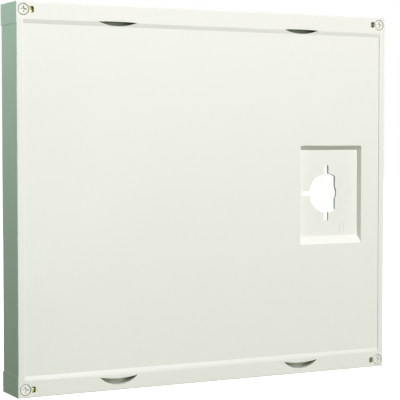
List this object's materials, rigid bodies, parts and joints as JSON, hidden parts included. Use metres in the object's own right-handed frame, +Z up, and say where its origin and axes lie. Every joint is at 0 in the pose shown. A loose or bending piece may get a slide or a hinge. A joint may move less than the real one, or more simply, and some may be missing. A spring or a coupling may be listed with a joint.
{
  "type": "distribution board front cover",
  "caption": "Moulded white front cover of a distribution board, open at the back, with a recessed handle window, finger grips and sealable quarter-turn corner locks.",
  "frame": {"origin": "centre of the four lock feet, on the plane of the rear rim", "axes": "+X right and +Z up seen from the front, +Y backwards into the board; the front faces -Y"},
  "size_m": [0.5008, 0.058, 0.45],
  "materials": {
    "cover_plastic": "fine satin moulded, white",
    "lock_plastic": "moulded nylon, white",
    "washer_rubber": "plain",
    "clip_steel": "stamped spring steel",
    "zinc_screw": "zinc plated",
    "seal_steel": "yellow passivated zinc"
  },
  "bodies": {
    "cover": {"front_panel": "cover_plastic", "top_end_strip": "cover_plastic", "bottom_end_strip": "cover_plastic", "handle_plate": "cover_plastic", "handle_plate_screws": "zinc_screw", "top_strip_screws": "zinc_screw", "bottom_strip_screws": "zinc_screw", "lock_washer_top_left": "washer_rubber", "lock_washer_top_right": "washer_rubber", "lock_washer_bottom_left": "washer_rubber", "lock_washer_bottom_right": "washer_rubber", "seal_eye_top_left": "seal_steel", "seal_eye_top_right": "seal_steel", "seal_eye_bottom_left": "seal_steel", "seal_eye_bottom_right": "seal_steel"},
    "lock_top_left": {"lock_bolt_top_left": "lock_plastic", "lock_clip_top_left": "clip_steel"},
    "lock_top_right": {"lock_bolt_top_right": "lock_plastic", "lock_clip_top_right": "clip_steel"},
    "lock_bottom_left": {"lock_bolt_bottom_left": "lock_plastic", "lock_clip_bottom_left": "clip_steel"},
    "lock_bottom_right": {"lock_bolt_bottom_right": "lock_plastic", "lock_clip_bottom_right": "clip_steel"}
  },
  "joints": [
    {"name": "lock_turn_top_left", "type": "hinge", "parent": "cover", "child": "lock_top_left", "pos_m": [-0.2415, 0, 0.216], "axis": [0, 1, 0], "range_deg": [0, 90]},
    {"name": "lock_turn_top_right", "type": "hinge", "parent": "cover", "child": "lock_top_right", "pos_m": [0.2415, 0, 0.216], "axis": [0, 1, 0], "range_deg": [0, 90]},
    {"name": "lock_turn_bottom_left", "type": "hinge", "parent": "cover", "child": "lock_bottom_left", "pos_m": [-0.2415, 0, -0.216], "axis": [0, 1, 0], "range_deg": [0, 90]},
    {"name": "lock_turn_bottom_right", "type": "hinge", "parent": "cover", "child": "lock_bottom_right", "pos_m": [0.2415, 0, -0.216], "axis": [0, 1, 0], "range_deg": [0, 90]}
  ]
}
